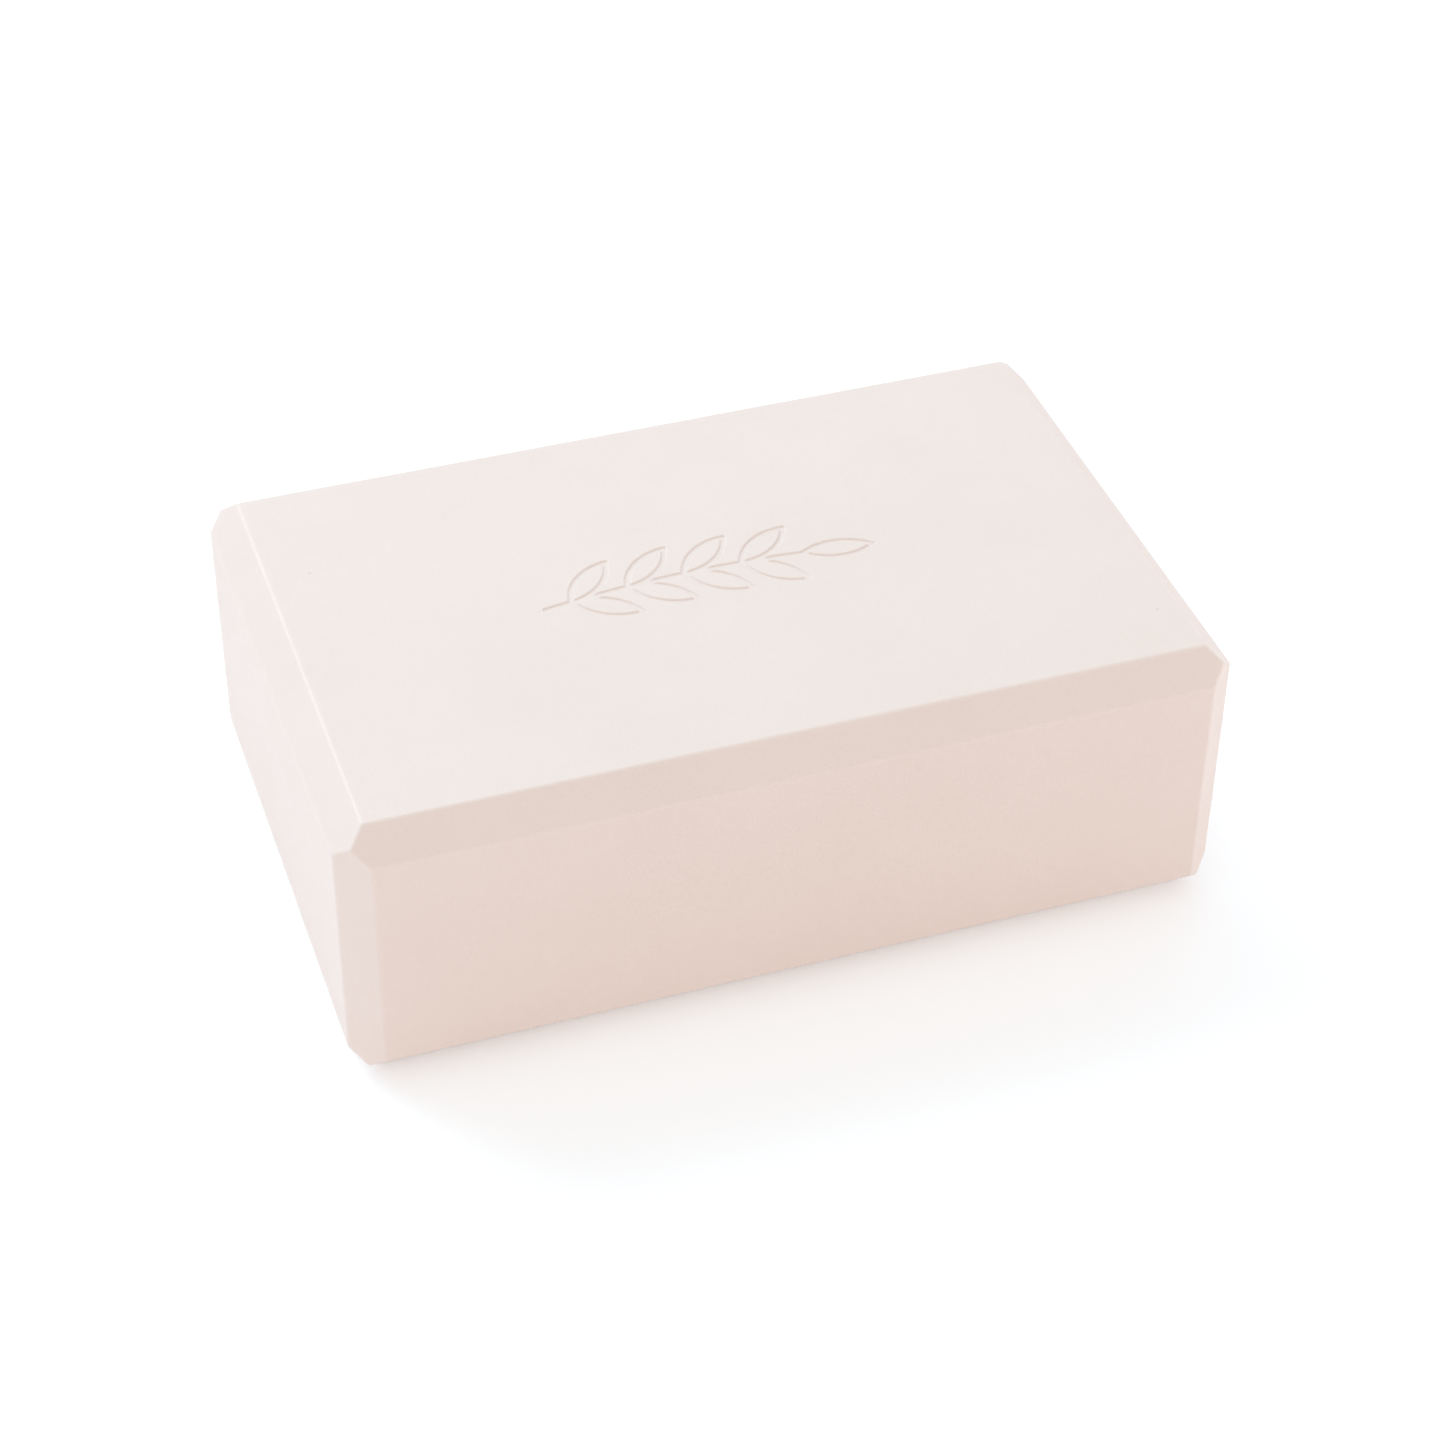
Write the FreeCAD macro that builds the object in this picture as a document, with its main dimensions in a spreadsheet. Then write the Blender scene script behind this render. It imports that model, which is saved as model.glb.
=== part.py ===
import FreeCAD, Part
import Sketcher
import os

# A foam yoga block. Three foam sheets are bonded face to face by thin adhesive films, the board is
# sawn to a brick, and all twelve edges are bevelled at 45 degrees and lightly softened.
# +X runs along the length, +Y across the width away from the user, +Z up.
# The origin is the centre of the face that the block lies on. All sizes are in millimetres.

# Sheets and films from the floor up: a film lies on every sheet but the last.
SHEET_LABELS = ("lower_sheet", "core_sheet", "upper_sheet")
FILM_LABELS = ("lower_bond_film", "upper_bond_film")

# Driving dimensions: alias, size, meaning
DRIVING_DIMENSIONS = (
    ("block_length", 225.0, "end face to end face"),
    ("block_width", 145.0, "long side to long side"),
    ("sheet_thickness", 25.4, "one foam sheet"),
    ("film_thickness", 0.2, "one cured adhesive film"),
    ("bevel_leg", 7.5, "each leg of the bevel on every edge"),
    ("edge_radius", 1.5, "softening of the cut edges"),
)

# Expressions that the features are bound to
LENGTH = "Sizes.block_length"
WIDTH = "Sizes.block_width"
SHEET = "Sizes.sheet_thickness"
FILM = "Sizes.film_thickness"
BEVEL = "Sizes.bevel_leg"
SOFTENING = "Sizes.edge_radius"
HEIGHT = f"({len(SHEET_LABELS)} * {SHEET} + {len(FILM_LABELS)} * {FILM})"

# Ends of a sketch line, and the sketch's origin as a (line, end) pair
START, END = 1, 2
ORIGIN = (-1, START)

doc = FreeCAD.newDocument("yoga_block")

sizes = doc.addObject("Spreadsheet::Sheet", "Sizes")
for row, (alias, size, meaning) in enumerate(DRIVING_DIMENSIONS, start=1):
    sizes.set(f"A{row}", meaning)
    sizes.set(f"B{row}", str(size))
    sizes.setAlias(f"B{row}", alias)
doc.recompute()


# Sketch helpers

def present_size(expression):
    """The number that an expression comes to at the sizes in the sheet."""
    return float(sizes.evalExpression(expression))


def attached_sketch(body, name, plane_role):
    """A new sketch of the body, on one of the body's own origin planes."""
    sketch = body.newObject("Sketcher::SketchObject", name)
    planes = [feature for feature in body.Origin.OriginFeatures if feature.Role == plane_role]
    sketch.AttachmentSupport = [(planes[0], "")]
    sketch.MapMode = "FlatFace"
    return sketch


def dimension(sketch, direction, start, end, expression):
    """Binds the distance from start to end, two (line, end) pairs, along X or Y of the sketch."""
    constraint = Sketcher.Constraint("Distance" + direction, *start, *end, present_size(expression))
    index = sketch.addConstraint(constraint)
    sketch.setExpression(f"Constraints[{index}]", expression)


def closed_outline(sketch, corners):
    """Lines from corner to corner and back to the first. Returns the lines' numbers."""
    first = sketch.GeometryCount
    points = [FreeCAD.Vector(x, y, 0) for x, y in corners]
    lines = [first + i for i in range(len(points))]
    for here, there in zip(points, points[1:] + points[:1]):
        sketch.addGeometry(Part.LineSegment(here, there))
    for line, following in zip(lines, lines[1:] + lines[:1]):
        sketch.addConstraint(Sketcher.Constraint("Coincident", line, END, following, START))
    return lines


def fix_sides(sketch, foot, right, head, left, wide, high, below):
    """Holds an outline's four straight sides square, centred across, its foot a distance below zero."""
    for line in (foot, head):
        sketch.addConstraint(Sketcher.Constraint("Horizontal", line))
    for line in (right, left):
        sketch.addConstraint(Sketcher.Constraint("Vertical", line))
    dimension(sketch, "X", (left, START), ORIGIN, f"{wide} / 2")
    dimension(sketch, "X", ORIGIN, (right, START), f"{wide} / 2")
    dimension(sketch, "Y", (foot, START), ORIGIN, below)
    dimension(sketch, "Y", (foot, START), (head, START), high)


def bevelled_outline(sketch, wide, high, below):
    """A rectangle with its four corners cut off at the bevel, anticlockwise from its foot."""
    x = present_size(f"{wide} / 2")
    y_low = -present_size(below)
    y_high = y_low + present_size(high)
    leg = present_size(BEVEL)
    foot, _, right, _, head, _, left, _ = closed_outline(
        sketch,
        [
            (leg - x, y_low), (x - leg, y_low),
            (x, y_low + leg), (x, y_high - leg),
            (x - leg, y_high), (leg - x, y_high),
            (-x, y_high - leg), (-x, y_low + leg),
        ],
    )
    fix_sides(sketch, foot, right, head, left, wide, high, below)
    dimension(sketch, "X", (foot, END), (right, START), BEVEL)
    dimension(sketch, "Y", (foot, END), (right, START), BEVEL)
    dimension(sketch, "X", (head, START), (right, END), BEVEL)
    dimension(sketch, "Y", (right, END), (head, START), BEVEL)
    dimension(sketch, "X", (left, START), (head, END), BEVEL)
    dimension(sketch, "Y", (left, START), (head, END), BEVEL)
    dimension(sketch, "X", (left, END), (foot, START), BEVEL)
    dimension(sketch, "Y", (foot, START), (left, END), BEVEL)


def waste_outline(sketch, wide, high):
    """A rectangle twice the block's size about its middle: the cutter clears all out to here."""
    x = present_size(wide)
    y_low = -present_size(f"{high} / 2")
    y_high = y_low + present_size(f"2 * {high}")
    corners = [(-x, y_low), (x, y_low), (x, y_high), (-x, y_high)]
    fix_sides(sketch, *closed_outline(sketch, corners), f"2 * {wide}", f"2 * {high}", f"{high} / 2")


# The bevelled brick, as cut from the bonded board

def bevelled_brick():
    """One solid of the finished outer form, before it is told apart into sheets and films."""
    body = doc.addObject("PartDesign::Body", "bevelled_brick")

    plan = attached_sketch(body, "plan_outline", "XY_Plane")
    bevelled_outline(plan, LENGTH, WIDTH, f"{WIDTH} / 2")
    feature = body.newObject("PartDesign::Pad", "sawn_board")
    feature.Profile = plan
    feature.setExpression("Length", HEIGHT)
    doc.recompute()

    # A cutter runs along the edges of both ends, then along the edges of both long sides, so that
    # three bevels of one size meet at each corner in three ridges and one point.
    for name, plane_role, wide in (
        ("end_bevels", "XZ_Plane", LENGTH),
        ("side_bevels", "YZ_Plane", WIDTH),
    ):
        volume_before = body.Shape.Volume
        profile = attached_sketch(body, name + "_profile", plane_role)
        bevelled_outline(profile, wide, HEIGHT, "0")
        waste_outline(profile, wide, HEIGHT)
        feature = body.newObject("PartDesign::Pocket", name)
        feature.Profile = profile
        feature.Type = "ThroughAll"
        feature.Midplane = True
        doc.recompute()
        if not 0 < body.Shape.Volume < volume_before:
            raise RuntimeError(f"{name} did not cut as meant")

    softened = body.newObject("PartDesign::Fillet", "softened_edges")
    softened.Base = (feature, [])
    softened.UseAllEdges = True
    softened.setExpression("Radius", SOFTENING)
    doc.recompute()
    return body


# Sheets and films, told apart by height

def layer(brick, label, thickness, height_below):
    """The slice of the brick that one sheet or film fills."""
    span = doc.addObject("Part::Box", label + "_span")
    span.setExpression("Length", f"2 * {LENGTH}")
    span.setExpression("Width", f"2 * {WIDTH}")
    span.setExpression("Height", thickness)
    span.setExpression("Placement.Base.x", f"-{LENGTH}")
    span.setExpression("Placement.Base.y", f"-{WIDTH}")
    span.setExpression("Placement.Base.z", height_below)
    piece = doc.addObject("Part::Common", label)
    piece.Label = label
    piece.Base = brick
    piece.Tool = span
    return piece


brick = bevelled_brick()
pieces = []
for number, label in enumerate(SHEET_LABELS):
    pieces.append(layer(brick, label, SHEET, f"{number} * ({SHEET} + {FILM})"))
for number, label in enumerate(FILM_LABELS):
    pieces.append(layer(brick, label, FILM, f"{number} * ({SHEET} + {FILM}) + {SHEET}"))
doc.recompute()


# Checks, then one file for each piece

for item in doc.Objects:
    if "Invalid" in item.State or "Error" in item.State:
        raise RuntimeError(f"{item.Label} failed to build: {item.State}")
for piece in pieces:
    if piece.Shape.isNull() or not piece.Shape.isValid() or len(piece.Shape.Solids) != 1:
        raise RuntimeError(f"{piece.Label} is not one valid solid")

os.makedirs("parts", exist_ok=True)
for piece in pieces:
    piece.Shape.exportStep(f"parts/{piece.Label}.step")
    box = piece.Shape.BoundBox
    print(f"{piece.Label}: {box.XLength:.2f} x {box.YLength:.2f} x {box.ZLength:.2f} mm")
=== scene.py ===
# %% [markdown]
# # A foam yoga block
#
# The real object is a firm brick of closed-cell foam, very pale pink and quite matt. Foam sheets are
# bonded face to face, the board is sawn to a brick, and a cutter takes a 45 degree bevel off all twelve
# edges. This lesson dresses the imported CAD model of that brick. The CAD model fixes where every piece is
# and how large it is, so it is loaded first, and the sizes are read from its box.

import math

import bmesh
import bpy
import numpy as np
from mathutils import Matrix, Vector, noise


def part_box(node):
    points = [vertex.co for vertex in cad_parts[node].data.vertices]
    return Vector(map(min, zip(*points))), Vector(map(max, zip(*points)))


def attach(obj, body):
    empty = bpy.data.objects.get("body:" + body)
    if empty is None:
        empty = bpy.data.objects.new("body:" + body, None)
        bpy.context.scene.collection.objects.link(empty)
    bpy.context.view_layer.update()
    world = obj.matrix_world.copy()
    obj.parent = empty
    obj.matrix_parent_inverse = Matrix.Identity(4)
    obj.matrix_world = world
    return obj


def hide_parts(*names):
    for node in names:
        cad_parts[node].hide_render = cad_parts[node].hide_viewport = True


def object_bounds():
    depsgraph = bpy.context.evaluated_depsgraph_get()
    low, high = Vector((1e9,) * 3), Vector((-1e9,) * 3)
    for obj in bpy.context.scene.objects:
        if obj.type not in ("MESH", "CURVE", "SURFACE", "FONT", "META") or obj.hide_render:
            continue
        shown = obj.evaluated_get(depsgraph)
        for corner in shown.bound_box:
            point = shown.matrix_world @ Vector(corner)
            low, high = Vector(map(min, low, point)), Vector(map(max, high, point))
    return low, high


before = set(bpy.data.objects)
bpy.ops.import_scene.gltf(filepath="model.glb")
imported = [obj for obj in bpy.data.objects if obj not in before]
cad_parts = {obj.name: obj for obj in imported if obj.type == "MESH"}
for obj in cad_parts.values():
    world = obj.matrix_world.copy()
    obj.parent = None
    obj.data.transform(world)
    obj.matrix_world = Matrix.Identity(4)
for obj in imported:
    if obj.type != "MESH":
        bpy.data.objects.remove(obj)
cad_low, cad_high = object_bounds()
print("CAD nodes:", ", ".join(sorted(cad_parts)))

# %% [markdown]
# The sizes could be typed in again here, but then the looks and the solids could drift apart. They are
# read from the frame instead. The bevel's size is found from the flat that is left on top: the flat ends
# where the softened crease begins, and a crease of a known radius between two faces that turn by 45
# degrees starts that radius times the tangent of half the turn away from the sharp corner.

# %% Read the sizes from the frame
MM = 0.001
BEVEL_TURN = math.radians(45)
EDGE_RADIUS = 1.5 * MM
SAME_HEIGHT = 0.0002 * MM

length, width, height = cad_high - cad_low
half_size = Vector((length, width, height)) / 2
crease_reach = EDGE_RADIUS * math.tan(BEVEL_TURN / 2)

top_sheet_points = [vertex.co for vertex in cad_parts["upper_sheet"].data.vertices]
top_flat_points = [point for point in top_sheet_points if point.z > height - SAME_HEIGHT]
bevel_leg = half_size.x - max(point.x for point in top_flat_points) - crease_reach
print(f"Block {length / MM:.1f} x {width / MM:.1f} x {height / MM:.1f} mm, bevel {bevel_leg / MM:.2f} mm")

# %% [markdown]
# The bevelled brick is convex, so its convex hull is the whole shape. Blender's Bevel tool would close
# each corner with a small triangle. On the real block the three bevels run on until they meet, which
# leaves three short ridges and one point, so the corner points are worked out and the hull is taken over
# them. Each corner has four: one on each of the three faces, and the point where the ridges meet.

# %% Build the sharp bevelled brick
FLAT_ANGLE = math.radians(1)


def corner_points(side_x, side_y, side_z):
    """The four points of one corner of the brick, measured from its middle."""
    insets = (
        (bevel_leg, bevel_leg, 0),
        (0, bevel_leg, bevel_leg),
        (bevel_leg, 0, bevel_leg),
        (bevel_leg / 2, bevel_leg / 2, bevel_leg / 2),
    )
    signs = Vector((side_x, side_y, side_z))
    return [signs * (half_size - Vector(inset)) for inset in insets]


skin = bmesh.new()
middle = Vector((0, 0, half_size.z))
for side_x in (-1, 1):
    for side_y in (-1, 1):
        for side_z in (-1, 1):
            for point in corner_points(side_x, side_y, side_z):
                skin.verts.new(middle + point)
bmesh.ops.convex_hull(skin, input=skin.verts)
bmesh.ops.dissolve_limit(skin, angle_limit=FLAT_ANGLE, verts=skin.verts, edges=skin.edges)
bmesh.ops.recalc_face_normals(skin, faces=skin.faces)
print("Sharp brick:", len(skin.faces), "faces,", len(skin.edges), "edges")

# %% [markdown]
# Foam never keeps a knife-sharp edge. Every crease is rolled over to a radius of a millimetre or two, and
# the light runs smoothly from one face to the next. A shader could fake this, but real geometry also
# softens the outline, so the Bevel operator is run on all the edges with a few segments.

# %% Soften the creases
CREASE_SEGMENTS = 5
ROUND_PROFILE = 0.5

bmesh.ops.bevel(
    skin,
    geom=skin.edges[:],
    offset=crease_reach,
    offset_type="OFFSET",
    segments=CREASE_SEGMENTS,
    profile=ROUND_PROFILE,
    affect="EDGES",
)
print("Softened brick:", len(skin.faces), "faces")

# %% [markdown]
# The faces are still single polygons, and a single polygon cannot swell, dip or carry wear. The skin is
# sliced by planes along all three axes, like a loaf cut three ways. The slices are close together by the
# bevels, where wear and a painted highlight go, and a few millimetres apart elsewhere.

# %% Slice the skin into a working grid
GRID_STEP = 3.0 * MM
RUB_REACH = 1.3 * MM
WELD_DISTANCE = 0.001 * MM


def slice_places(half):
    """Where the planes cut along one axis, from the middle of the brick."""
    near_edge = [RUB_REACH, bevel_leg / 2, bevel_leg - RUB_REACH, bevel_leg + RUB_REACH]
    inner_reach = half - near_edge[-1]
    steps = round(2 * inner_reach / GRID_STEP)
    inner = [-inner_reach + 2 * inner_reach * i / steps for i in range(steps + 1)]
    outer = [half - inset for inset in near_edge[:-1]]
    return sorted(inner + outer + [-place for place in outer])


for axis in range(3):
    plane_normal = Vector((0, 0, 0))
    plane_normal[axis] = 1
    for place in slice_places(half_size[axis]):
        bmesh.ops.bisect_plane(
            skin,
            geom=skin.verts[:] + skin.edges[:] + skin.faces[:],
            dist=WELD_DISTANCE,
            plane_co=middle + plane_normal * place,
            plane_no=plane_normal,
        )
print("Working grid:", len(skin.faces), "faces")

# %% [markdown]
# In the middle of the top there is a shallow pressed line ornament, a plain leafy sprig. It could be a
# bump texture, but a pressed line has walls that catch the light and a floor that lies lower, also when
# seen from close by, so it is pressed into the mesh. The sprig is drawn as a distance: for any point of
# the top, how far is it to the nearest line? The stem is part of a wide arc, and each leaf is the almond
# shape where two circles overlap. Two pinholes, small burst cells, are added the same way.

# %% Draw the sprig as a distance
STROKE_WIDTH = 1.4 * MM
STEM_RADIUS = 260 * MM
STEM_REACH = (-43 * MM, 25 * MM)
STEM_CREST = 1.5 * MM
LEAF_LENGTH = 18.0 * MM
LEAF_WIDTH = 6.2 * MM
LEAF_SPREAD = math.radians(38)
LEAF_ROOTS = (-36 * MM, -21 * MM, -6 * MM, 9 * MM)
PINHOLES = ((-94.1 * MM, 30.2 * MM), (99.9 * MM, -48.5 * MM))


def stem_point(along):
    """The point of the stem that lies this far along it from its crest, and the stem's heading there."""
    turn = along / STEM_RADIUS
    x = STEM_RADIUS * math.sin(turn)
    y = STEM_CREST + STEM_RADIUS * (math.cos(turn) - 1)
    return np.array((x, y)), -turn


def stem_distance(points):
    """How far each point is from the stem's centre line."""
    from_hub = points - np.array((0, STEM_CREST - STEM_RADIUS))
    turn = np.arctan2(from_hub[:, 0], from_hub[:, 1])
    turn = np.clip(turn, STEM_REACH[0] / STEM_RADIUS, STEM_REACH[1] / STEM_RADIUS)
    nearest = STEM_RADIUS * np.stack((np.sin(turn), np.cos(turn)), axis=1)
    return np.linalg.norm(from_hub - nearest, axis=1)


def leaf_distance(points, root, heading):
    """How far each point is from the outline of the almond leaf that grows from root."""
    forward = np.array((math.cos(heading), math.sin(heading)))
    sideways = np.array((-forward[1], forward[0]))
    from_middle = points - root - forward * LEAF_LENGTH / 2
    along = np.abs(from_middle @ forward)
    across = np.abs(from_middle @ sideways)
    half_length = LEAF_LENGTH / 2
    half_width = LEAF_WIDTH / 2
    arc_radius = (half_length**2 + half_width**2) / (2 * half_width)
    arc_offset = arc_radius - half_width
    to_arc = np.abs(np.hypot(along, across + arc_offset) - arc_radius)
    to_tip = np.hypot(along - half_length, across)
    beyond_tip = (along - half_length) * arc_offset > across * half_length
    return np.where(beyond_tip, to_tip, to_arc)


def sprig_distance(points):
    """How far each point is from the nearest line of the sprig."""
    lines = [stem_distance(points)]
    tip_root, tip_heading = stem_point(STEM_REACH[1])
    lines.append(leaf_distance(points, tip_root, tip_heading))
    for along in LEAF_ROOTS:
        root, heading = stem_point(along)
        for side in (-1, 1):
            lines.append(leaf_distance(points, root, heading + side * LEAF_SPREAD))
    return np.min(lines, axis=0)


print("Sprig:", 2 * len(LEAF_ROOTS) + 1, "leaves on one stem, and", len(PINHOLES), "pinholes")

# %% [markdown]
# The grid is too coarse to hold a line little more than a millimetre wide. The faces of the top that lie
# near the ornament or a pinhole are divided into squares of a fifth of a millimetre, and only those, so
# the rest of the block stays light.

# %% Refine the top where it is pressed
FINE_CUTS = 14
FINE_MARGIN = 2.6 * MM
UPWARD = 0.999


def pressed_distance(points):
    """How far each point is from the nearest thing that is pressed into the top."""
    pits = [np.linalg.norm(points - np.array(pit), axis=1) for pit in PINHOLES]
    return np.minimum(sprig_distance(points), np.min(pits, axis=0))


top_faces = [
    face for face in skin.faces
    if face.normal.z > UPWARD and face.calc_center_median().z > height - SAME_HEIGHT
]
face_middles = np.array([face.calc_center_median().xy for face in top_faces])
near_press = pressed_distance(face_middles) < FINE_MARGIN
fine_edges = {
    edge
    for face, near in zip(top_faces, near_press) if near
    for edge in face.edges
}
bmesh.ops.subdivide_edges(
    skin,
    edges=list(fine_edges),
    cuts=FINE_CUTS,
    use_grid_fill=True,
)
print("Refined faces:", int(near_press.sum()), "of", len(top_faces), "- skin now has", len(skin.faces))

# %% [markdown]
# A sawn foam face is not a mirror. It dips and swells by some hundredths of a millimetre, more slowly
# than the eye can follow, and that keeps the light on a large face from looking printed. Every point is
# moved inwards along its normal by smooth noise, so the block never grows past its box. The dips fade out
# beside the bond lines, where the three sheets have to stay flush.

# %% Let the faces dip a little
DIP_DEPTH = 0.10 * MM
DIP_SIZE = 38 * MM
FLUSH_REACH = 6 * MM
BOND_FILMS = ("lower_bond_film", "upper_bond_film")

film_boxes = [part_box(name) for name in BOND_FILMS]
film_middles = [(low.z + high.z) / 2 for low, high in film_boxes]


def ease(share):
    """A smooth step from 0 to 1."""
    share = min(max(share, 0.0), 1.0)
    return share * share * (3 - 2 * share)


skin.normal_update()
dip_normals = [vertex.normal.copy() for vertex in skin.verts]
deepest_dip = 0.0
for vertex, normal in zip(skin.verts, dip_normals):
    swell = 0.5 + 0.5 * noise.noise(vertex.co / DIP_SIZE)
    to_bond = min(abs(vertex.co.z - film_middle) for film_middle in film_middles)
    off_floor = 1.0 if vertex.co.z > SAME_HEIGHT else 0.0
    dip = DIP_DEPTH * swell * ease(to_bond / FLUSH_REACH) * off_floor
    vertex.co -= normal * dip
    deepest_dip = max(deepest_dip, dip)
print(f"Deepest dip {deepest_dip / MM:.3f} mm")

# %% [markdown]
# Now the ornament goes in. Near the middle of a line the top is lowered by the full depth, and over a
# narrow band at the line's edge the depth fades out, which makes the soft wall that a warm die leaves in
# foam. How deep each point went is kept as an attribute, because pressed foam is smoother and the
# material will want to know.

# %% Press the ornament into the top
PRESS_DEPTH = 0.35 * MM
PRESS_WALL = 0.3 * MM
PIT_RADIUS = 0.28 * MM
PIT_DEPTH = 0.3 * MM

pressed_layer = skin.verts.layers.float.new("pressed")
top_verts = [vertex for vertex in skin.verts if vertex.co.z > height - 2 * DIP_DEPTH]
top_spots = np.array([vertex.co.xy for vertex in top_verts])
to_line = sprig_distance(top_spots)
to_pit = np.min([np.linalg.norm(top_spots - np.array(pit), axis=1) for pit in PINHOLES], axis=0)
for vertex, line, pit in zip(top_verts, to_line, to_pit):
    press = ease((STROKE_WIDTH / 2 + PRESS_WALL / 2 - line) / PRESS_WALL)
    hole = ease(1 - pit / (2 * PIT_RADIUS))
    vertex.co.z -= PRESS_DEPTH * press + PIT_DEPTH * hole
    vertex[pressed_layer] = press
print("Pressed points:", int((to_line < STROKE_WIDTH / 2).sum()))

# %% [markdown]
# Hands, mats and bags polish a block along its creases first, and the creases also get a painted highlight
# in the colour. The shader has no idea where a crease is, so each point gets a number for it: 1 on a
# crease, 0 at a small distance from it. With the depths of a
# point below the end, the side and the top known, the six crease lines near it are easy to measure to.
# Inside a corner, where all three depths are small, the ridges lie where two of the depths are equal.

# %% Mark the creases for rub and painted highlight
AXIS_PAIRS = ((0, 1), (1, 2), (0, 2))
WELL_RUBBED = 0.5

rub_and_highlight_layer = skin.verts.layers.float.new("edge_rub_and_highlight")
rubbed = 0
for vertex in skin.verts:
    offset = vertex.co - middle
    below = [half_size[axis] - abs(offset[axis]) for axis in range(3)]
    nearest = min(
        math.hypot(below[first] - bevel_leg, below[second])
        for first in range(3) for second in range(3) if first != second
    )
    if max(below) < bevel_leg:
        to_ridge = min(abs(below[first] - below[second]) for first, second in AXIS_PAIRS)
        nearest = min(nearest, to_ridge)
    vertex[rub_and_highlight_layer] = 1 - ease(nearest / RUB_REACH)
    rubbed += vertex[rub_and_highlight_layer] > WELL_RUBBED
print("Points on a rubbed crease:", rubbed)

# %% [markdown]
# The skin is one shell, and the object is three sheets with a film of adhesive between each pair. Each
# sheet gets its own copy of the skin, cut off at the heights where the CAD sheet starts and ends, and the
# open cuts are closed with a flat cap. The caps meet the rim at a sharp edge, so smooth shading stays on
# the outside.

# %% Part the skin into three foam sheets
FOAM_SHEETS = {
    "lower_foam": "lower_sheet",
    "core_foam": "core_sheet",
    "upper_foam": "upper_sheet",
}


def cut_off(shell, cut_height, keep_above):
    """Removes the shell on one side of a level plane and caps the opening."""
    bmesh.ops.bisect_plane(
        shell,
        geom=shell.verts[:] + shell.edges[:] + shell.faces[:],
        dist=WELD_DISTANCE,
        plane_co=(0, 0, cut_height),
        plane_no=(0, 0, 1),
        clear_inner=keep_above,
        clear_outer=not keep_above,
    )
    rim = [edge for edge in shell.edges if edge.is_boundary]
    bmesh.ops.contextual_create(shell, geom=rim)
    for edge in rim:
        edge.smooth = False


def foam_sheet(name, node):
    """One closed foam sheet, cut from a copy of the skin at the heights of its CAD node."""
    low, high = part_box(node)
    shell = skin.copy()
    if low.z > SAME_HEIGHT:
        cut_off(shell, low.z, keep_above=True)
    if high.z < height - SAME_HEIGHT:
        cut_off(shell, high.z, keep_above=False)
    bmesh.ops.recalc_face_normals(shell, faces=shell.faces)
    for face in shell.faces:
        face.smooth = True
    open_edges = sum(edge.is_boundary for edge in shell.edges)
    mesh = bpy.data.meshes.new(name)
    shell.to_mesh(mesh)
    shell.free()
    sheet = bpy.data.objects.new(name, mesh)
    bpy.context.scene.collection.objects.link(sheet)
    print(f"{name}: {len(mesh.polygons)} faces, {open_edges} open edges")
    return sheet


foam_pieces = {name: foam_sheet(name, node) for name, node in FOAM_SHEETS.items()}
skin.free()

# %% [markdown]
# Smooth shading averages the normals round each point. Beside a narrow rolled crease that average would
# tilt the edge of the large flat face and shade it like a pillow. The Weighted Normal modifier lets large
# faces count for more, so the flats stay flat right up to the crease.

# %% Keep the flats flat
for sheet in foam_pieces.values():
    weighted = sheet.modifiers.new("flat_faces", "WEIGHTED_NORMAL")
    weighted.mode = "FACE_AREA"
    weighted.keep_sharp = True
print("Weighted normals on", len(foam_pieces), "sheets")

# %% [markdown]
# Closed-cell foam is a mass of bubbles a few tenths of a millimetre wide, cut open by the saw. From arm's
# length it reads as an even matt colour with a slight cloudiness, and from close by as a fine grain. The
# material is built from noise in the block's own coordinates, so the grain runs on from sheet to sheet
# and needs no unwrapping. A small helper adds a node and sets its inputs, to keep the cells short.

# %% Start the foam material
FOAM_PALE = (0.862, 0.756, 0.712, 1)
FOAM_DEEP = (0.848, 0.738, 0.692, 1)
FOAM_GLOSS = 0.50


def add_node(tree, kind, inputs=None, **settings):
    """Adds a node, sets its properties, and sets or links its inputs."""
    node = tree.nodes.new(kind)
    for name, value in settings.items():
        setattr(node, name, value)
    for name, value in (inputs or {}).items():
        if isinstance(value, bpy.types.NodeSocket):
            tree.links.new(value, node.inputs[name])
        else:
            node.inputs[name].default_value = value
    return node


def new_material(name):
    """An empty material with a Principled shader on its output."""
    material = bpy.data.materials.new(name)
    material.use_nodes = True
    tree = material.node_tree
    return material, tree, tree.nodes["Principled BSDF"]


foam, foam_tree, foam_shader = new_material("pale_pink_foam")
foam_shader.inputs["Specular IOR Level"].default_value = FOAM_GLOSS
foam_spot = add_node(foam_tree, "ShaderNodeTexCoord").outputs["Object"]
print("Material:", foam.name)

# %% [markdown]
# The colour first. Cloudy noise a few centimetres across mixes two close pinks. A finer speckle, near the
# size of the cells, paints shade into the open cells, darkest in the middle of each, where the cut bubble
# is deepest. The pressed lines are a touch deeper, and the creases a touch paler, partly as scuffed foam
# is and partly as a painted highlight.

# %% Colour the foam
# The Mix node names its sockets alike for numbers and colours, so these are picked by their order.
MIX_SHARE, MIX_FROM, MIX_TO, MIX_RESULT = 0, 6, 7, 2
NOISE_SPAN = (0.3, 0.7)
CLOUD_SCALE = 1 / (30 * MM)
CLOUD_DETAIL = 3.0
CLOUD_ROUGHNESS = 0.55
CELL_SCALE = 1 / (0.42 * MM)
CELL_SPAN = (0.1, 0.6)
CELL_SHADE = 0.30
RUB_AND_HIGHLIGHT_SHARE = 0.12
PRESS_SHARE = 0.15
# Painted shade: the middle of each open cell is darker, where the cut bubble lies deepest.
FOAM_CELL_PAINTED_SHADE = (0.800, 0.680, 0.632, 1)
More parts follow.
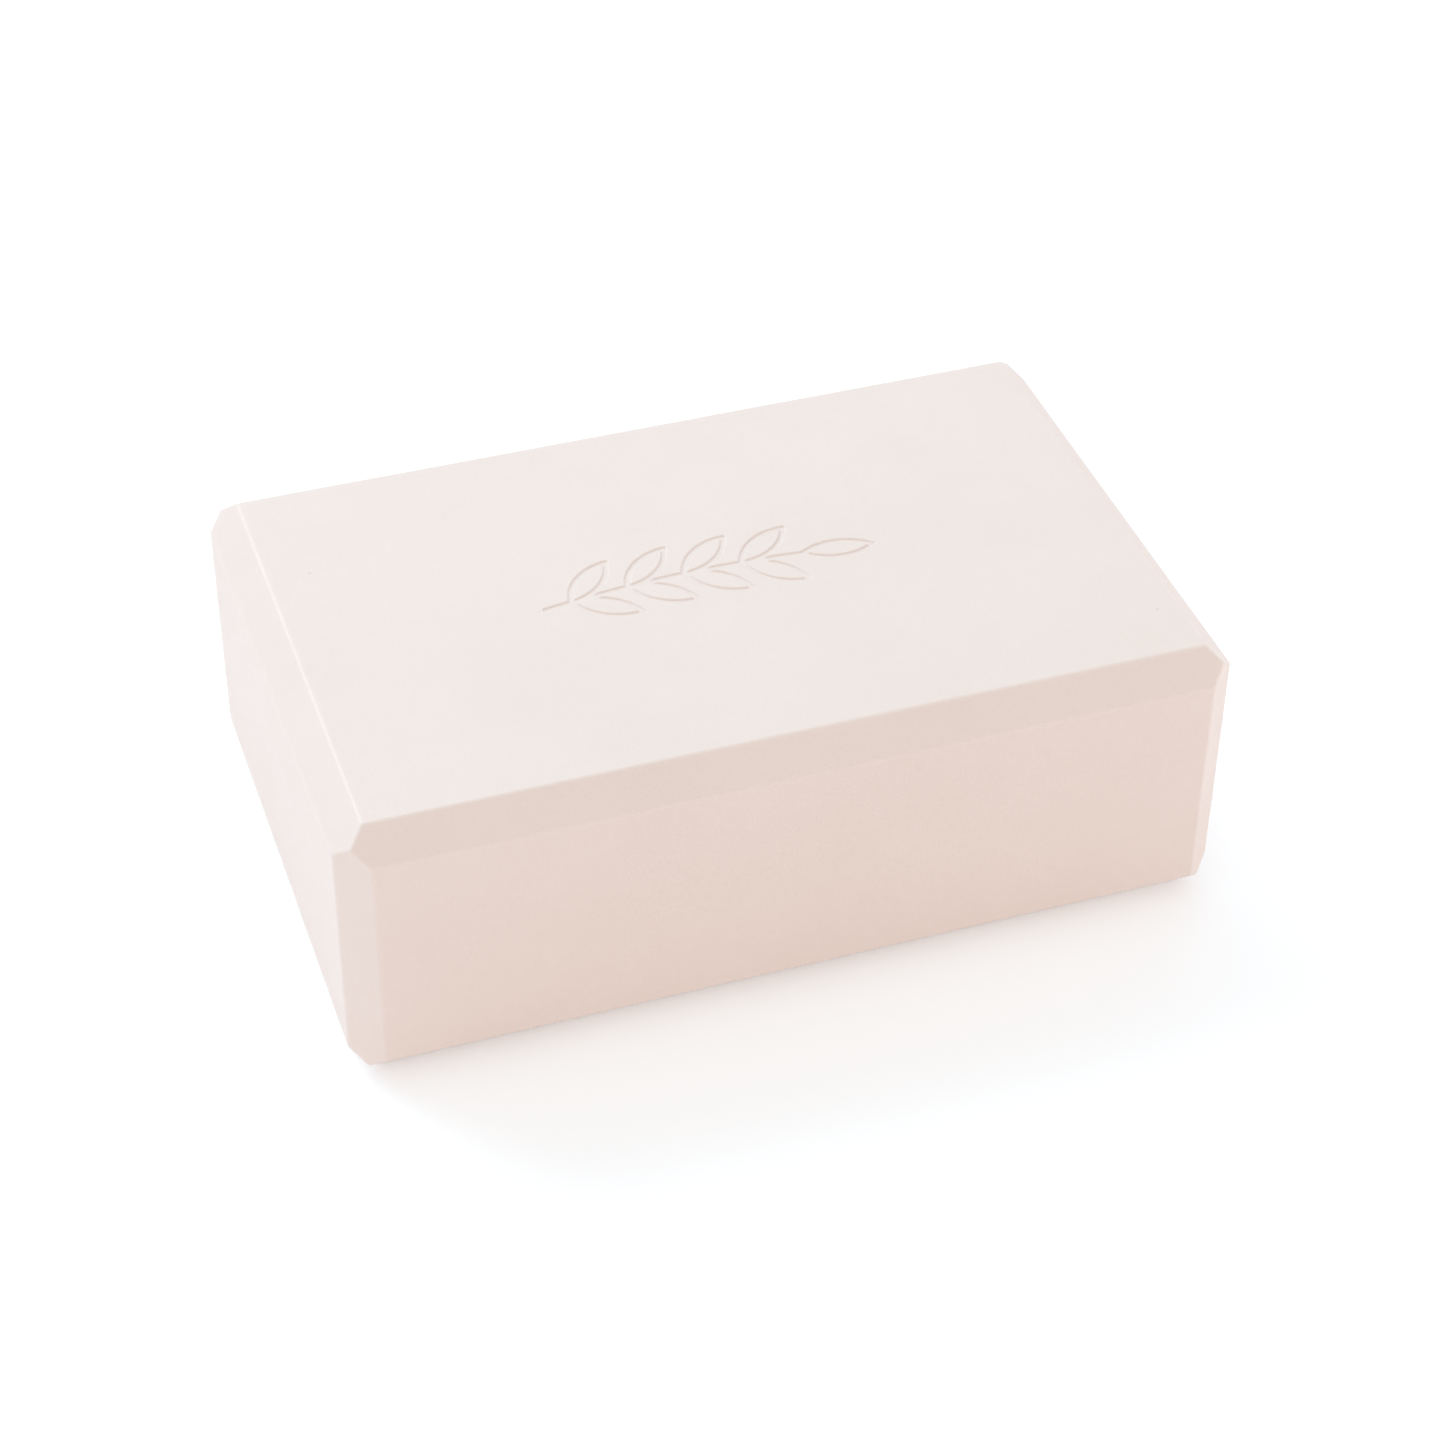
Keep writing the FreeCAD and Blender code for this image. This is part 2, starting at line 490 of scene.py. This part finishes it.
# Painted highlight: the creases are painted paler, partly as scuffed foam and partly as a highlight.
FOAM_SCUFFED_AND_HIGHLIGHT = (0.890, 0.805, 0.770, 1)
FOAM_PRESSED = (0.835, 0.725, 0.682, 1)


def blend_colours(tree, share, start, end):
    """Mixes from the start colour to the end colour by a share that varies over the surface."""
    sockets = {MIX_SHARE: share, MIX_FROM: start, MIX_TO: end}
    return add_node(tree, "ShaderNodeMix", sockets, data_type="RGBA").outputs[MIX_RESULT]


def remap(tree, value, from_range, to_range):
    """Stretches a varying value from one range to another and stops it at the ends."""
    sockets = {
        "Value": value,
        "From Min": from_range[0], "From Max": from_range[1],
        "To Min": to_range[0], "To Max": to_range[1],
    }
    return add_node(tree, "ShaderNodeMapRange", sockets).outputs["Result"]


def add_noise(tree, spot, scale, detail, roughness=0.5):
    """Smooth noise about one half, with finer layers of noise on top of it."""
    sockets = {"Vector": spot, "Scale": scale, "Detail": detail, "Roughness": roughness}
    return add_node(tree, "ShaderNodeTexNoise", sockets).outputs["Fac"]


cloud = add_noise(foam_tree, foam_spot, CLOUD_SCALE, CLOUD_DETAIL, CLOUD_ROUGHNESS)
cell_distance = add_node(foam_tree, "ShaderNodeTexVoronoi", {
    "Vector": foam_spot, "Scale": CELL_SCALE,
}).outputs["Distance"]
crease_rub_and_highlight = add_node(foam_tree, "ShaderNodeAttribute", attribute_name="edge_rub_and_highlight").outputs["Fac"]
pressed = add_node(foam_tree, "ShaderNodeAttribute", attribute_name="pressed").outputs["Fac"]

cloud_share = remap(foam_tree, cloud, NOISE_SPAN, (0, 1))
# Painted shade, darkest in the middle of each cut cell.
cell_painted_shade_share = remap(foam_tree, cell_distance, CELL_SPAN, (CELL_SHADE, 0))
press_share = remap(foam_tree, pressed, (0, 1), (0, PRESS_SHARE))
# A painted highlight along every crease, together with a little scuffing.
rub_and_highlight_share = remap(foam_tree, crease_rub_and_highlight, (0, 1), (0, RUB_AND_HIGHLIGHT_SHARE))
colour = blend_colours(foam_tree, cloud_share, FOAM_PALE, FOAM_DEEP)
colour = blend_colours(foam_tree, cell_painted_shade_share, colour, FOAM_CELL_PAINTED_SHADE)
colour = blend_colours(foam_tree, press_share, colour, FOAM_PRESSED)
colour = blend_colours(foam_tree, rub_and_highlight_share, colour, FOAM_SCUFFED_AND_HIGHLIGHT)
foam_tree.links.new(colour, foam_shader.inputs["Base Color"])
print("Foam colours from", FOAM_PALE[:3], "to", FOAM_DEEP[:3])

# %% [markdown]
# Next the gloss. The skin of cut closed-cell foam is between matt and satin, so the roughness lies about
# the middle. It wanders a little with a noise of a few millimetres, and drops where the die has melted the
# cells shut and on the creases, which the cutter and many hands have polished. On the real block that
# polish shows as one thin bright line where a crease mirrors the softbox behind.

# %% Vary the roughness
FINE_DETAIL = 2.0
SHEEN_SCALE = 1 / (4 * MM)
ROUGHNESS_RANGE = (0.46, 0.54)
PRESSED_SMOOTHER = 0.10
RUB_SMOOTHER = 0.10

patches = add_noise(foam_tree, foam_spot, SHEEN_SCALE, FINE_DETAIL)
roughness = remap(foam_tree, patches, NOISE_SPAN, ROUGHNESS_RANGE)
for wear, change in ((pressed, -PRESSED_SMOOTHER), (crease_rub_and_highlight, -RUB_SMOOTHER)):
    sockets = {0: wear, 1: change, 2: roughness}
    smoother = add_node(foam_tree, "ShaderNodeMath", sockets, operation="MULTIPLY_ADD")
    roughness = smoother.outputs["Value"]
foam_tree.links.new(roughness, foam_shader.inputs["Roughness"])
print("Foam roughness:", ROUGHNESS_RANGE)

# %% [markdown]
# Last the relief that is too fine for the mesh: the cut cells, a faint unevenness some millimetres wide,
# and the lines that the cutter leaves along a bevel. The lines come from a trick with coordinates. How
# deep a point lies below the end, the side and the top or bottom, each stopped at the bevel's size, stays
# the same all over a flat face and changes only across a bevel. Noise in those three depths therefore
# makes lines that run along every bevel and leaves the flats alone.

# %% Add the fine relief
RIPPLE_SCALE = 1 / (2.6 * MM)
RIPPLE_DEPTH = 0.012 * MM
CELL_DEPTH = 0.030 * MM
CUTTER_SCALE = 1 / (0.8 * MM)
CUTTER_DEPTH = 0.014 * MM


def add_relief(tree, height_value, depth, below=None):
    """A Bump node of a depth in metres, on top of the relief that is already there."""
    sockets = {"Height": height_value, "Distance": depth, "Strength": 1.0}
    if below is not None:
        sockets["Normal"] = below
    return add_node(tree, "ShaderNodeBump", sockets).outputs["Normal"]


def vector_step(tree, operation, first, second=None):
    """One step of vector arithmetic."""
    sockets = {0: first} if second is None else {0: first, 1: second}
    return add_node(tree, "ShaderNodeVectorMath", sockets, operation=operation).outputs["Vector"]


from_middle = vector_step(foam_tree, "SUBTRACT", foam_spot, middle)
depths = vector_step(foam_tree, "SUBTRACT", half_size, vector_step(foam_tree, "ABSOLUTE", from_middle))
cutter_spot = vector_step(foam_tree, "MINIMUM", depths, (bevel_leg, bevel_leg, bevel_leg))
cutter_lines = add_noise(foam_tree, cutter_spot, CUTTER_SCALE, FINE_DETAIL)
ripple = add_noise(foam_tree, foam_spot, RIPPLE_SCALE, FINE_DETAIL)

relief = add_relief(foam_tree, ripple, RIPPLE_DEPTH)
relief = add_relief(foam_tree, cutter_lines, CUTTER_DEPTH, relief)
relief = add_relief(foam_tree, cell_distance, CELL_DEPTH, relief)
foam_tree.links.new(relief, foam_shader.inputs["Normal"])
for sheet in foam_pieces.values():
    sheet.data.materials.append(foam)
print("Foam relief:", CELL_DEPTH / MM, "mm cells,", CUTTER_DEPTH / MM, "mm cutter lines")

# %% [markdown]
# The adhesive films are CAD nodes whose shape is right, so they stay and only get a finish. The adhesive
# is tinted like the foam and is cut flush with it, and on the real block no line shows. Its material has
# the foam's colour and gloss with a little less grain.

# %% Finish the bond films
BOND_PALE = (0.855, 0.752, 0.711, 1)
BOND_DEEP = (0.835, 0.728, 0.686, 1)
BOND_SCALE = 1 / (6 * MM)
BOND_GRAIN_SCALE = 1 / (0.5 * MM)
BOND_GRAIN_DEPTH = 0.015 * MM

bond, bond_tree, bond_shader = new_material("tinted_adhesive")
bond_shader.inputs["Specular IOR Level"].default_value = FOAM_GLOSS
bond_spot = add_node(bond_tree, "ShaderNodeTexCoord").outputs["Object"]
bond_cloud = add_noise(bond_tree, bond_spot, BOND_SCALE, CLOUD_DETAIL)
bond_grain = add_noise(bond_tree, bond_spot, BOND_GRAIN_SCALE, FINE_DETAIL)
bond_share = remap(bond_tree, bond_cloud, NOISE_SPAN, (0, 1))
bond_colour = blend_colours(bond_tree, bond_share, BOND_PALE, BOND_DEEP)
bond_tree.links.new(bond_colour, bond_shader.inputs["Base Color"])
bond_roughness = remap(bond_tree, bond_cloud, NOISE_SPAN, ROUGHNESS_RANGE)
bond_tree.links.new(bond_roughness, bond_shader.inputs["Roughness"])
bond_relief = add_relief(bond_tree, bond_grain, BOND_GRAIN_DEPTH)
bond_tree.links.new(bond_relief, bond_shader.inputs["Normal"])

for name in BOND_FILMS:
    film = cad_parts[name]
    film.data.materials.clear()
    film.data.materials.append(bond)
print("Bond finish on", len(BOND_FILMS), "films")

# %% [markdown]
# Each foam sheet now takes the place of its CAD sheet, which is hidden. It rides on the block's one body.

# %% Tie the sheets to the frame
for name, node in FOAM_SHEETS.items():
    sheet = foam_pieces[name]
    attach(sheet, "root")
    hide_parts(node)
print("Sheets tied to the frame:", ", ".join(FOAM_SHEETS))

# %% [markdown]
# The block lies on a white studio floor. Seen by the camera the floor is nearly pure white and keeps a
# soft shadow hugging the block. For the light that bounces off it, it is an ordinary pale surface, a
# little warm. A Light Path node tells the two apart, so the white background puts no extra light on the
# block. Far from the block the floor fades to plain white, to meet the white world without a line.

# %% Lay the floor
FLOOR_REACH = 4.0
FLOOR_SIDES = 64
FLOOR_BOUNCE = (0.985, 0.942, 0.952, 1)
FLOOR_SHOWN = (0.90, 0.945, 0.98, 1)
FLOOR_LIFT = 0.22
FADE_START, FADE_END = 0.45, 1.1
WHITE = (1, 1, 1, 1)


def seen_share(tree):
    """1 for rays from the camera, or seen in gloss or through glass, and 0 for light that bounces."""
    path = add_node(tree, "ShaderNodeLightPath").outputs
    seen = path["Is Camera Ray"]
    for kind in ("Is Glossy Ray", "Is Transmission Ray"):
        either = add_node(tree, "ShaderNodeMath", {0: seen, 1: path[kind]}, operation="MAXIMUM")
        seen = either.outputs["Value"]
    return seen


def mix_shaders(tree, share, first, second):
    """Mixes two shaders."""
    return add_node(tree, "ShaderNodeMixShader", {0: share, 1: first, 2: second}).outputs["Shader"]


def white_glow(tree, strength):
    """A shader that shines an even white."""
    sockets = {"Color": WHITE, "Strength": strength}
    return add_node(tree, "ShaderNodeEmission", sockets).outputs["Emission"]


floor_mesh = bpy.data.meshes.new("studio_floor")
floor_form = bmesh.new()
bmesh.ops.create_circle(floor_form, cap_ends=True, segments=FLOOR_SIDES, radius=FLOOR_REACH)
floor_form.to_mesh(floor_mesh)
floor_form.free()
floor = bpy.data.objects.new("studio_floor", floor_mesh)
bpy.context.scene.collection.objects.link(floor)

paper = bpy.data.materials.new("white_paper")
paper.use_nodes = True
paper_tree = paper.node_tree
paper_tree.nodes.clear()
paper_output = add_node(paper_tree, "ShaderNodeOutputMaterial")
bounce = add_node(paper_tree, "ShaderNodeBsdfDiffuse", {"Color": FLOOR_BOUNCE}).outputs["BSDF"]
shaded = add_node(paper_tree, "ShaderNodeBsdfDiffuse", {"Color": FLOOR_SHOWN}).outputs["BSDF"]
lift = white_glow(paper_tree, FLOOR_LIFT)
lifted = add_node(paper_tree, "ShaderNodeAddShader", {0: shaded, 1: lift}).outputs["Shader"]
paper_spot = add_node(paper_tree, "ShaderNodeTexCoord").outputs["Object"]
from_block = add_node(paper_tree, "ShaderNodeVectorMath", {0: paper_spot}, operation="LENGTH")
fade = remap(paper_tree, from_block.outputs["Value"], (FADE_START, FADE_END), (0, 1))
shown = mix_shaders(paper_tree, fade, lifted, white_glow(paper_tree, 1.0))
paper_shader = mix_shaders(paper_tree, seen_share(paper_tree), bounce, shown)
paper_tree.links.new(paper_shader, paper_output.inputs["Surface"])
floor_mesh.materials.append(paper)
print("Floor laid,", 2 * FLOOR_REACH, "m across")

# %% [markdown]
# The light is a plain soft studio: two broad softboxes high up behind the block, the left one much the
# stronger, a faint small one low on each side, and a soft world for the rest. The lamps and the world
# behind are a little cool, like daylight from a window, and the world in front is warmer and slightly
# brighter, like a room. No lamp stands in front, so the long side towards the camera gets its light from
# the world and the floor and is darker and warmer than the top, as in the photograph.

# %% Set up the studio light
WORLD_FRONT = (0.888, 0.793, 0.698, 1)
WORLD_BACK = (0.646, 0.715, 0.801, 1)
COOL_TINT = (0.79, 1.0, 1.08)
PLAIN_TINT = (1.0, 1.0, 1.0)
# Each softbox has a place and a side in metres, a power in watts and a tint.
SOFTBOXES = {
    "back_left_softbox": ((-0.75, 1.62, 1.61), 1.5, 22.8, COOL_TINT),
    "back_right_softbox": ((0.75, 1.62, 1.61), 1.5, 3.9, COOL_TINT),
    "left_softbox": ((-0.50, -0.15, 0.06), 0.25, 0.18, COOL_TINT),
    "right_softbox": ((0.80, -0.40, 0.10), 0.45, 1.2, PLAIN_TINT),
}


def add_softbox(name, place, side, power, tint):
    """Adds a square area lamp that faces the middle of the block and isn't itself seen."""
    lamp = bpy.data.lights.new(name, "AREA")
    lamp.shape = "SQUARE"
    lamp.size = side
    lamp.energy = power
    lamp.color = tint
    box = bpy.data.objects.new(name, lamp)
    box.location = place
    box.rotation_mode = "QUATERNION"
    box.rotation_quaternion = (middle - Vector(place)).to_track_quat("-Z", "Y")
    box.visible_camera = False
    bpy.context.scene.collection.objects.link(box)


for name, (place, side, power, tint) in SOFTBOXES.items():
    add_softbox(name, place, side, power, tint)

world = bpy.data.worlds.new("white_studio")
world.use_nodes = True
bpy.context.scene.world = world
world_tree = world.node_tree
world_tree.nodes.clear()
world_output = add_node(world_tree, "ShaderNodeOutputWorld")
world_aim = add_node(world_tree, "ShaderNodeTexCoord").outputs["Generated"]
to_back = add_node(world_tree, "ShaderNodeSeparateXYZ", {0: world_aim}).outputs["Y"]
back_share = remap(world_tree, to_back, (-1, 1), (0, 1))
world_colour = blend_colours(world_tree, back_share, WORLD_FRONT, WORLD_BACK)
dim = add_node(world_tree, "ShaderNodeBackground", {"Color": world_colour, "Strength": 1.0})
white = add_node(world_tree, "ShaderNodeBackground", {"Color": WHITE, "Strength": 1.0})
world_shader = mix_shaders(world_tree, seen_share(world_tree), dim.outputs[0], white.outputs[0])
world_tree.links.new(world_shader, world_output.inputs["Surface"])
print("Softboxes:", ", ".join(SOFTBOXES))

# %% [markdown]
# The camera repeats the photograph's view. Its lens, place and tilt were worked out from the block's own
# edges: parallel edges of a known size that draw together in the picture leave only one place from which
# they can have been seen. The photograph is a square of 1440 pixels.

# %% Place the camera
CAMERA_LENS = 84.22
CAMERA_SENSOR = 36.0
CAMERA_PLACE = Vector((-216.49, -631.16, 581.75)) * MM
LOOK_DOWN = math.radians(39.641)
LOOK_RIGHT = math.radians(19.199)
CAMERA_ROLL = math.radians(0.642)

camera_data = bpy.data.cameras.new("photo_camera")
camera_data.lens = CAMERA_LENS
camera_data.sensor_width = CAMERA_SENSOR
camera_data.sensor_fit = "HORIZONTAL"
camera = bpy.data.objects.new("photo_camera", camera_data)
turn_right = Matrix.Rotation(-LOOK_RIGHT, 4, "Z")
tilt = Matrix.Rotation(math.pi / 2 - LOOK_DOWN, 4, "X")
roll = Matrix.Rotation(CAMERA_ROLL, 4, "Z")
camera.matrix_world = Matrix.Translation(CAMERA_PLACE) @ turn_right @ tilt @ roll
bpy.context.scene.collection.objects.link(camera)
bpy.context.scene.camera = camera
bpy.context.scene.view_settings.view_transform = "Standard"
print(f"Camera {CAMERA_PLACE.length:.3f} m from the block's foot")

# %% [markdown]
# The last cell brings the scene up to date.

# %% Finish
bpy.context.view_layer.update()
